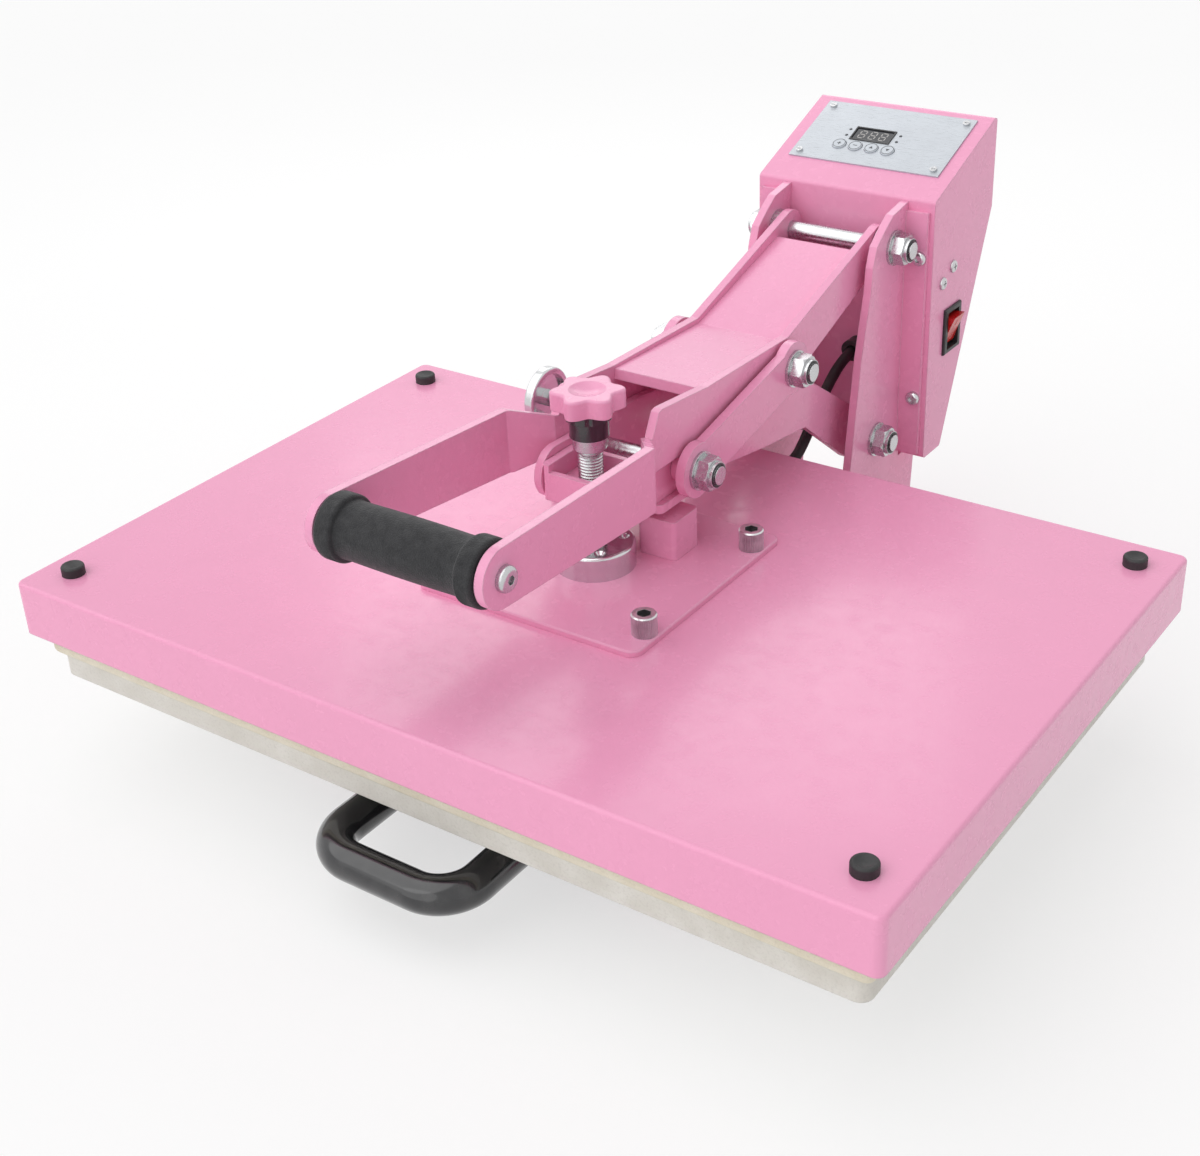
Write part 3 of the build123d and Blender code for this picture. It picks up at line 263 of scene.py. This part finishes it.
def plastic(name, color, rough=0.4, grain=900.0, depth=0.25, edge=0.0005, coat=0.0, dust=0.05):
    """Moulded plastic or rubber with fine grain and a little dust."""
    g = Graph(name)
    soft = g.soft_edges(edge)
    dusty = g.span(g.noise(70.0, 4.0), 0.0, dust, 0.45, 0.75)
    base = g.blend(dusty, color, (0.45, 0.44, 0.43))
    normal = g.bump(g.noise(grain, 3.0), depth, 0.0002, soft)
    roughness = g.span(g.noise(120.0, 3.0), rough - 0.06, rough + 0.08)
    return g.set(Base_Color=base, Roughness=roughness, Normal=normal, Coat_Weight=coat,
                 Coat_Roughness=0.08)


def foam_skin(name, color):
    """Closed-cell foam with a fine pebbled surface."""
    g = Graph(name)
    cells = g.add("ShaderNodeTexVoronoi")
    cells.inputs["Scale"].default_value = 1100.0
    g.join(g.coords, cells.inputs["Vector"])
    pits = g.bump(cells.outputs["Distance"], 0.5, 0.0005)
    normal = g.bump(g.noise(260.0, 3.0), 0.3, 0.0006, pits)
    base = g.blend(g.span(g.noise(1500.0, 2.0), 0.0, 1.0), shade(color, 0.7), shade(color, 1.6))
    return g.set(Base_Color=base, Roughness=g.span(g.noise(200.0), 0.62, 0.85), Normal=normal,
                 Sheen_Weight=0.15, Specular_IOR_Level=0.35)


def mottled(name, color, dark, rough=0.6, metallic=0.0, pits=0.3, scale=160.0):
    """Silicone sponge or cast plate: soft mottling and small pits."""
    g = Graph(name)
    big = g.span(g.noise(scale * 0.25, 5.0, 0.6), 0.0, 1.0)
    small = g.span(g.noise(scale * 3.0, 3.0, 0.6), 0.0, 0.5, 0.5, 0.75)
    base = g.blend(small, g.blend(big, dark, color), shade(dark, 0.8))
    normal = g.bump(g.noise(scale * 6.0, 3.0), pits, 0.0004, g.soft_edges(0.0008))
    return g.set(Base_Color=base, Roughness=g.span(g.noise(scale), rough - 0.08, rough + 0.1),
                 Normal=normal, Metallic=metallic)


def knurled(name, color, centres, count=44.0):
    """Bright heads whose straight knurling follows the angle round each screw."""
    g = Graph(name)
    parts = g.add("ShaderNodeSeparateXYZ")
    g.join(g.coords, parts.inputs[0])
    x = g.maths("SUBTRACT", g.maths("ABSOLUTE", parts.outputs[0]), centres[0])
    y = g.maths("SUBTRACT", g.maths("ABSOLUTE", g.maths("SUBTRACT", parts.outputs[1],
                                                        centres[1])), centres[2])
    angle = g.maths("ARCTAN2", y, x)
    wave = g.maths("SINE", g.maths("MULTIPLY", angle, count))
    geometry = g.add("ShaderNodeNewGeometry")
    normal_parts = g.add("ShaderNodeSeparateXYZ")
    g.join(geometry.outputs["Normal"], normal_parts.inputs[0])
    side = g.span(g.maths("ABSOLUTE", normal_parts.outputs[2]), 1.0, 0.0, 0.2, 0.6)
    height = g.maths("MULTIPLY", wave, side)
    base = g.blend(g.span(g.noise(150.0, 4.0), 0.0, 1.0), shade(color, 0.85), shade(color, 1.2))
    fine = g.bump(g.noise(1200.0, 3.0), 0.2, 0.0002, g.soft_edges(0.0004))
    return g.set(Base_Color=base, Metallic=1.0, Roughness=0.30,
                 Normal=g.bump(height, 0.9, 0.0006, fine))


# Painted glow: a dim grey emission makes the unlit display digits show as pale segments.
def painted_glow(name, color, strength):
    g = Graph(name)
    spots = g.span(g.noise(900.0), 0.85, 1.0)
    return g.set(Base_Color=shade(color, 0.4), Roughness=0.4,
                 Emission_Color=g.blend(spots, shade(color, 0.6), color),
                 Emission_Strength=strength)


PINK = (0.885, 0.368, 0.566)
M = {
    "pink_coat": painted("pink powder coat", PINK),
    "zinc_steel": metal("zinc plated steel", (0.55, 0.555, 0.565), 0.24, (1, 1, 1), 900.0, 0.04,
                        0.0005, 0.06),
    "bright_screws": metal("bright screws", (0.60, 0.605, 0.615), 0.24, (1, 1, 1), 900.0, 0.05,
                           0.0003, 0.05),
    "black_coat": painted("black powder coat", (0.020, 0.020, 0.022), 0.34, 0.3, 0.0008, 0.04),
    "polished_steel": metal("polished steel", (0.64, 0.645, 0.655), 0.16, (1, 1, 8), 400.0, 0.03,
                            0.0006, 0.05),
    "black_rubber": plastic("black rubber", (0.018, 0.018, 0.019), 0.55, 700.0, 0.3, 0.0005),
    "black_plastic": plastic("black plastic", (0.025, 0.025, 0.027), 0.42, 1100.0, 0.3),
    "black_gloss": plastic("black gloss", (0.012, 0.012, 0.014), 0.18, 300.0, 0.08, 0.0006, 0.6),
    "foam": foam_skin("black foam", (0.020, 0.020, 0.022)),
    "red_gloss": plastic("red gloss", (0.55, 0.010, 0.010), 0.28, 260.0, 0.06, 0.0006, 0.1, 0.02),
    "display_black": plastic("display window", (0.010, 0.012, 0.020), 0.08, 200.0, 0.02, 0.0003,
                             1.0, 0.02),
    "panel_silver": metal("panel", (0.53, 0.56, 0.60), 0.32, (1, 30, 1), 260.0, 0.1, 0.0003,
                          0.05, 0.35),
    "key_grey": plastic("keys", (0.58, 0.62, 0.67), 0.36, 800.0, 0.2, 0.0003, 0.2, 0.03),
    "board_green": plastic("board", (0.02, 0.16, 0.06), 0.4, 600.0, 0.2),
    "cast_aluminium": mottled("cast aluminium", (0.76, 0.735, 0.685), (0.65, 0.62, 0.56), 0.5,
                              0.0, 0.35, 180.0),
    "element_steel": metal("element sheath", (0.30, 0.28, 0.27), 0.45),
    "white_blanket": mottled("fibre blanket", (0.80, 0.79, 0.75), (0.70, 0.69, 0.64), 0.85),
    "cream_silicone": mottled("silicone sponge", (0.84, 0.78, 0.65), (0.74, 0.67, 0.52), 0.62,
                              0.0, 0.5, 240.0),
    "cable_black": plastic("cable sleeve", (0.016, 0.016, 0.017), 0.5, 900.0, 0.3),
}
# The heat plate's dark olive colour is partly its own and partly painted shade of the gap under
# the cover, where it shows only as a strip.
M["plate_edge"] = metal("dark olive plate with painted shade", (0.20, 0.21, 0.13), 0.45, (1, 1, 1), 500.0, 0.2,
                        0.0005, 0.15, 0.6)
M["knurled"] = knurled("knurled cap screws", (0.62, 0.62, 0.63),
                       (MOUNT_SCREW_X / 1000, (MOUNT_MID_Y + SHIFT) / 1000,
                        MOUNT_SCREW_Y / 1000))
M["nylon"] = plastic("nylon ring", (0.02, 0.02, 0.022), 0.35, 700.0, 0.2)
M["mark_rose"] = plastic("rose mark", (0.74, 0.22, 0.20), 0.4, 900.0, 0.1, 0.0002)
M["mark_dark"] = plastic("dark mark", (0.045, 0.05, 0.06), 0.4, 900.0, 0.1, 0.0002)
M["digit_dim"] = painted_glow("digits with painted glow", (0.62, 0.60, 0.58), 0.30)


def give(obj, material):
    obj.data.materials.clear()
    obj.data.materials.append(material)
    for face in getattr(obj.data, "polygons", []):
        face.material_index = 0


for entry in frame["record"]["subparts"]:
    give(nodes[entry["node"]], M[entry["material_slot"]])
give(nodes["heat_plate"], M["plate_edge"])
give(nodes["mount_screws"], M["knurled"])


# Making pieces

def piece(name, mesh, body, material, smooth=True):
    obj = bpy.data.objects.new(name, mesh)
    scene.collection.objects.link(obj)
    if smooth:
        for face in mesh.polygons:
            face.use_smooth = True
    give(obj, material)
    if body:
        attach(obj, body)
    return obj


def turned(name, profile, place, steps):
    """A mesh turned about its own Z from (radius, height) pairs in mm, put at place."""
    mesh = bpy.data.meshes.new(name)
    bm = bmesh.new()
    rings = []
    for r, z in profile:
        if r < 1e-6:
            rings.append([bm.verts.new((0, 0, z / 1000))])
            continue
        ring = []
        for i in range(steps):
            a = 2 * math.pi * i / steps
            ring.append(bm.verts.new((r * math.cos(a) / 1000, r * math.sin(a) / 1000, z / 1000)))
        rings.append(ring)
    for low, high in zip(rings, rings[1:]):
        for i in range(steps):
            j = (i + 1) % steps
            if len(low) == 1 and len(high) == 1:
                continue
            if len(low) == 1:
                bm.faces.new((low[0], high[j], high[i]))
            elif len(high) == 1:
                bm.faces.new((low[i], low[j], high[0]))
            else:
                bm.faces.new((low[i], low[j], high[j], high[i]))
    bmesh.ops.recalc_face_normals(bm, faces=bm.faces)
    bm.transform(place)
    bm.to_mesh(mesh)
    bm.free()
    return mesh


def at(x, y, z):
    """Millimetres in the part's frame, with Y counted from the plate's middle."""
    return Matrix.Translation((x / 1000, (y + SHIFT) / 1000, z / 1000))


def facing_x(side):
    """Turns +Z to +X or -X."""
    return Matrix.Rotation(math.radians(90 * side), 4, "Y")


# Soft pieces

def silicone_pad():
    """Soft slab with rounded edges that bulge a little under the plate."""
    mesh = bpy.data.meshes.new("pad_soft")
    bm = bmesh.new()
    rings = []
    profile = [(2.2, 0.0), (0.9, 0.6), (0.2, 2.0), (0.0, 4.6), (0.1, 7.4), (0.5, 9.3), (1.4, 10.2),
               (2.8, 10.5)]
    for inset, rise in profile:
        ring = []
        hx, hy, radius = PAD_HALF_X - inset, PAD_HALF_Y - inset, PAD_CORNER_R
        for sx, sy, a0 in ((1, -1, -90), (1, 1, 0), (-1, 1, 90), (-1, -1, 180)):
            for step in range(7):
                a = math.radians(a0 + 15 * step)
                x = sx * (hx - radius) + radius * math.cos(a)
                y = sy * (hy - radius) + radius * math.sin(a)
                ring.append((x, y))
        points = []
        for i, (x, y) in enumerate(ring):
            nx, ny = ring[(i + 1) % len(ring)]
            length = math.hypot(nx - x, ny - y)
            parts = max(1, int(length / PAD_STEP))
            for k in range(parts):
                points.append((x + (nx - x) * k / parts, y + (ny - y) * k / parts))
        loop = []
        for x, y in points:
            ripple = 0.22 * math.sin(x * 0.11) * math.cos(y * 0.13) if 2 < rise < 9 else 0
            loop.append(bm.verts.new((x / 1000, (y + SHIFT) / 1000,
                                      (PAD_LOW_Z + rise + ripple) / 1000)))
        rings.append(loop)
    count = min(len(r) for r in rings)
    for a, b in zip(rings, rings[1:]):
        for i in range(count):
            j = (i + 1) % count
            bm.faces.new((a[i], a[j], b[j], b[i]))
    bm.faces.new(list(reversed(rings[0])))
    bm.faces.new(rings[-1])
    bmesh.ops.recalc_face_normals(bm, faces=bm.faces)
    bm.to_mesh(mesh)
    bm.free()
    return mesh


pad = piece("pad_soft", silicone_pad(), "drawer", M["cream_silicone"])
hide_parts("silicone_pad")


def foam_profile():
    """Radius and height along the grip: a rounded collar at each end and a full middle."""
    low = -GRIP_HALF
    core = COLLAR_R - COLLAR_ROUND
    waist_z = low + COLLAR_W + 3.2
    waist_parts = 12
    arc = [math.radians(a) for a in range(0, 91, 15)]
    points = [(GRIP_BORE_R, low), (core - 0.2, low)]
    points += [(core + COLLAR_ROUND * math.sin(a), low + COLLAR_ROUND - COLLAR_ROUND * math.cos(a))
               for a in arc]
    points += [(COLLAR_R, low + COLLAR_W)]
    points += [(core + COLLAR_ROUND * math.cos(a), low + COLLAR_W + COLLAR_ROUND * math.sin(a))
               for a in arc]
    points += [(WAIST_R + 0.1, waist_z)]
    middle = [(WAIST_R + 0.5 * math.sin(math.pi * k / waist_parts),
               waist_z * (1 - 2 * k / waist_parts)) for k in range(1, waist_parts)]
    mirror = [(r, -z) for r, z in reversed(points)]
    return points + middle + mirror


grip_place = at(0, GRIP_Y, GRIP_Z) @ facing_x(1)
grip = piece("grip_foam", turned("grip_foam", foam_profile(), grip_place, 72), "lever",
             M["foam"])
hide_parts("foam_grip")


def cable_piece():
    """Sleeved cable from the box to the cover."""
    route = [(326.6, 176), (301, 176), (270, 157), (246, 132), (228, 120), (202, 120)]
    data = bpy.data.curves.new("cable_line", "CURVE")
    data.dimensions = "3D"
    spline = data.splines.new("NURBS")
    spline.points.add(len(route) - 1)
    for point, (y, z) in zip(spline.points, route):
        point.co = (CABLE_X / 1000, (y + SHIFT) / 1000, z / 1000, 1.0)
    spline.order_u = 3
    spline.use_endpoint_u = True
    spline.resolution_u = 12
    data.bevel_depth = CABLE_R / 1000
    data.bevel_resolution = 6
    carrier = bpy.data.objects.new("cable_line", data)
    scene.collection.objects.link(carrier)
    bpy.context.view_layer.update()
    mesh = bpy.data.meshes.new_from_object(carrier)
    bpy.data.objects.remove(carrier)
    return mesh


cable = piece("cable_sleeve", cable_piece(), None, M["cable_black"])
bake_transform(cable)
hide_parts("heater_cable")


# Small hard details

def nylon_rings():
    """The dark nylon ring inside each lock nut's collar."""
    ring = [(6.15, 0.4), (6.15, 2.6), (7.9, 2.75), (7.9, 0.4)]
    for n, (y, z, x, body) in enumerate(LOCK_NUTS):
        for side in (-1, 1):
            place = at(side * x, y, z) @ facing_x(side)
            piece("nylon_ring_%d_%s" % (n, "r" if side > 0 else "l"),
                  turned("nylon_ring", ring, place, 40), body, M["nylon"])


nylon_rings()


def on_panel(x, along, up):
    """A place on the sloped panel: across it, along its slope and out of it, in mm."""
    (low_y, low_z), (high_y, high_z) = PANEL_LOW, PANEL_HIGH
    slope = math.atan2(high_z - low_z, high_y - low_y)
    middle = at(0, (low_y + high_y) / 2, (low_z + high_z) / 2)
    return middle @ Matrix.Rotation(slope, 4, "X") @ Matrix.Translation(
        (x / 1000, along / 1000, up / 1000))


def flat_shape(name, outlines, place, thick):
    """Thin raised shapes from outlines in mm."""
    mesh = bpy.data.meshes.new(name)
    bm = bmesh.new()
    for outline in outlines:
        low = [bm.verts.new((x / 1000, y / 1000, 0)) for x, y in outline]
        high = [bm.verts.new((x / 1000, y / 1000, thick / 1000)) for x, y in outline]
        bm.faces.new(high)
        bm.faces.new(list(reversed(low)))
        for i in range(len(outline)):
            j = (i + 1) % len(outline)
            bm.faces.new((low[i], low[j], high[j], high[i]))
    bm.transform(place)
    bm.to_mesh(mesh)
    bm.free()
    return mesh


def digit_bars(x0):
    """The seven bars of a digit, leaning a little."""
    w, h, t = 4.6, 8.2, 0.8
    bars = []
    for y in (0.0, h / 2, h):
        bars.append([(x0 + t, y - t / 2), (x0 + w - t, y - t / 2), (x0 + w - t / 2, y),
                     (x0 + w - t, y + t / 2), (x0 + t, y + t / 2), (x0 + t / 2, y)])
    for x in (x0, x0 + w):
        for y in (0.0, h / 2):
            bars.append([(x, y + t * 0.6), (x + t / 2, y + t), (x + t / 2, y + h / 2 - t),
                         (x, y + h / 2 - t * 0.6), (x - t / 2, y + h / 2 - t),
                         (x - t / 2, y + t)])
    return [[(x + 0.10 * y, y) for x, y in bar] for bar in bars]


def display_digits():
    bars = []
    for index in range(3):
        bars += digit_bars(-11.2 + 8.4 * index)
    mesh = flat_shape("display_digits", bars, on_panel(DISPLAY_X, DISPLAY_ROW - 4.1, 1.02), 0.06)
    piece("display_digits", mesh, "frame", M["digit_dim"], smooth=False)


def ring_profile(inner, outer, low, high):
    return [(inner, low), (inner, high), (outer, high), (outer, low), (inner, low)]


def key_marks():
    """A ring round each key's face, and a plus, a bar, and an up and a down arrow."""
    y = KEY_ROW
    for index in range(4):
        x = KEY_MID_X + (index - 1.5) * KEY_GAP_X
        bar = [(x - 1.6, y - 0.3), (x + 1.6, y - 0.3), (x + 1.6, y + 0.3), (x - 1.6, y + 0.3)]
        post = [(x - 0.3, y - 1.6), (x + 0.3, y - 1.6), (x + 0.3, y + 1.6), (x - 0.3, y + 1.6)]
        up = [(x - 1.5, y - 1.0), (x + 1.5, y - 1.0), (x, y + 1.6)]
        down = [(x - 1.5, y + 1.0), (x, y - 1.6), (x + 1.5, y + 1.0)]
        outlines = ([bar, post], [bar], [up], [down])[index]
        number = index + 1
        body = "panel_key_%d" % number
        ring = turned("key_ring", ring_profile(4.3, 4.75, KEY_TOP, KEY_TOP + 0.12),
                      on_panel(x, y, 0), 40)
        mark = flat_shape("key_mark", outlines, on_panel(0, 0, KEY_TOP), 0.12)
        piece("key_ring_%d" % number, ring, body, M["mark_dark"], smooth=False)
        piece("key_mark_%d" % number, mark, body, M["mark_dark"], smooth=False)


def panel_lamps():
    dome = [(0, 1.6), (0.9, 1.5), (1.2, 1.2)]
    for index, (x, along) in enumerate(LAMPS):
        piece("panel_lamp_%d" % (index + 1), turned("panel_lamp", dome, on_panel(x, along, 0), 20),
              "frame", M["mark_dark"])


def display_frame():
    """The raised rim round the display window, from four loops of half sizes and heights."""
    loops = ((16.2, 7.7, 1.2), (15.9, 7.4, 1.9), (14.9, 6.4, 1.8), (14.9, 6.4, 0.6))
    corners = ((-1, -1), (1, -1), (1, 1), (-1, 1))
    mesh = bpy.data.meshes.new("display_frame")
    bm = bmesh.new()
    rings = [[bm.verts.new(((DISPLAY_X + sx * half_x) / 1000, (DISPLAY_ROW + sy * half_y) / 1000,
                            up / 1000)) for sx, sy in corners] for half_x, half_y, up in loops]
    for a, b in zip(rings, rings[1:]):
        for i in range(4):
            j = (i + 1) % 4
            bm.faces.new((a[i], a[j], b[j], b[i]))
    bm.transform(on_panel(0, 0, 0))
    bm.to_mesh(mesh)
    bm.free()
    piece("display_frame", mesh, "frame", M["black_plastic"], smooth=False)


display_digits()
key_marks()
panel_lamps()
display_frame()


def switch_marks():
    """A bar and a ring raised on the rocker's two halves."""
    lean_up = math.atan2(4.8, 12.0)
    lean_low = math.atan2(3.2, 10.4)
    x, y, z = ROCKER
    upper = at(x + 7.6, y, z + 5.0) @ Matrix.Rotation(lean_up, 4, "Y") @ facing_x(1)
    bar = [[(-2.2, -0.35), (-2.2, 0.35), (2.2, 0.35), (2.2, -0.35)]]
    piece("switch_bar", flat_shape("switch_bar", bar, upper, 0.15), "rocker", M["mark_rose"],
          smooth=False)
    lower = at(x + 3.6, y, z - 6.2) @ Matrix.Rotation(lean_low, 4, "Y") @ facing_x(1)
    piece("switch_ring", turned("switch_ring", ring_profile(1.7, 2.3, 0.0, 0.15), lower, 32),
          "rocker", M["mark_rose"], smooth=False)


switch_marks()


# Floor, light and background

def make_floor():
    mesh = bpy.data.meshes.new("floor")
    s = FLOOR_HALF
    mesh.from_pydata([(-s, -s, 0), (s, -s, 0), (s, s, 0), (-s, s, 0)], [], [(0, 1, 2, 3)])
    floor = bpy.data.objects.new("floor", mesh)
    scene.collection.objects.link(floor)
    g = Graph("floor")
    tone = g.span(g.noise(3.0, 3.0), 0.0, 1.0)
    g.set(Base_Color=g.blend(tone, (0.975, 0.975, 0.975), (0.99, 0.99, 0.99)), Roughness=0.9,
          Specular_IOR_Level=0.1)
    pale = g.add("ShaderNodeEmission")
    path = g.add("ShaderNodeLightPath")
    seen = g.maths("MAXIMUM", path.outputs["Is Camera Ray"], path.outputs["Is Glossy Ray"])
    mix = g.add("ShaderNodeMixShader")
    g.join(g.maths("MULTIPLY", seen, FLOOR_WHITE), mix.inputs[0])
    g.join(g.shader.outputs[0], mix.inputs[1])
    g.join(pale.outputs[0], mix.inputs[2])
    g.join(mix.outputs[0], g.out.inputs["Surface"])
    give(floor, g.material)


def area_light(name, place, aim, size, power):
    data = bpy.data.lights.new(name, "AREA")
    data.shape = "RECTANGLE"
    data.size, data.size_y = size
    data.energy = power
    lamp = bpy.data.objects.new(name, data)
    scene.collection.objects.link(lamp)
    lamp.location = place
    lamp.rotation_euler = (Vector(aim) - Vector(place)).to_track_quat("-Z", "Y").to_euler()


def sun_light(name, towards, strength, spread):
    data = bpy.data.lights.new(name, "SUN")
    data.energy = strength
    data.angle = math.radians(spread)
    lamp = bpy.data.objects.new(name, data)
    scene.collection.objects.link(lamp)
    lamp.rotation_euler = (-Vector(towards)).to_track_quat("-Z", "Y").to_euler()


def make_world():
    world = bpy.data.worlds.new("studio")
    scene.world = world
    world.use_nodes = True
    tree = world.node_tree
    tree.nodes.clear()
    out = tree.nodes.new("ShaderNodeOutputWorld")
    mix = tree.nodes.new("ShaderNodeMixShader")
    light = tree.nodes.new("ShaderNodeBackground")
    white = tree.nodes.new("ShaderNodeBackground")
    path = tree.nodes.new("ShaderNodeLightPath")
    light.inputs["Color"].default_value = (1.0, 1.0, 1.0, 1.0)
    light.inputs["Strength"].default_value = WORLD_LIGHT
    white.inputs["Color"].default_value = (1.0, 1.0, 1.0, 1.0)
    white.inputs["Strength"].default_value = 1.0
    seen = path.outputs["Is Camera Ray"]
    for ray in ("Is Glossy Ray", "Is Transmission Ray"):
        either = tree.nodes.new("ShaderNodeMath")
        either.operation = "MAXIMUM"
        tree.links.new(seen, either.inputs[0])
        tree.links.new(path.outputs[ray], either.inputs[1])
        seen = either.outputs[0]
    tree.links.new(seen, mix.inputs[0])
    tree.links.new(light.outputs[0], mix.inputs[1])
    tree.links.new(white.outputs[0], mix.inputs[2])
    tree.links.new(mix.outputs[0], out.inputs[0])


make_floor()
make_world()
sun_light("key", (-0.42, -0.38, 1.0), 1.22, 75.0)
sun_light("fill", (-0.10, -1.0, 0.40), 0.50, 60.0)
area_light("sheen", (-0.70, 0.95, 0.95), (-0.15, -0.20, 0.14), (0.9, 0.5), 2.2)
scene.view_settings.view_transform = "Standard"
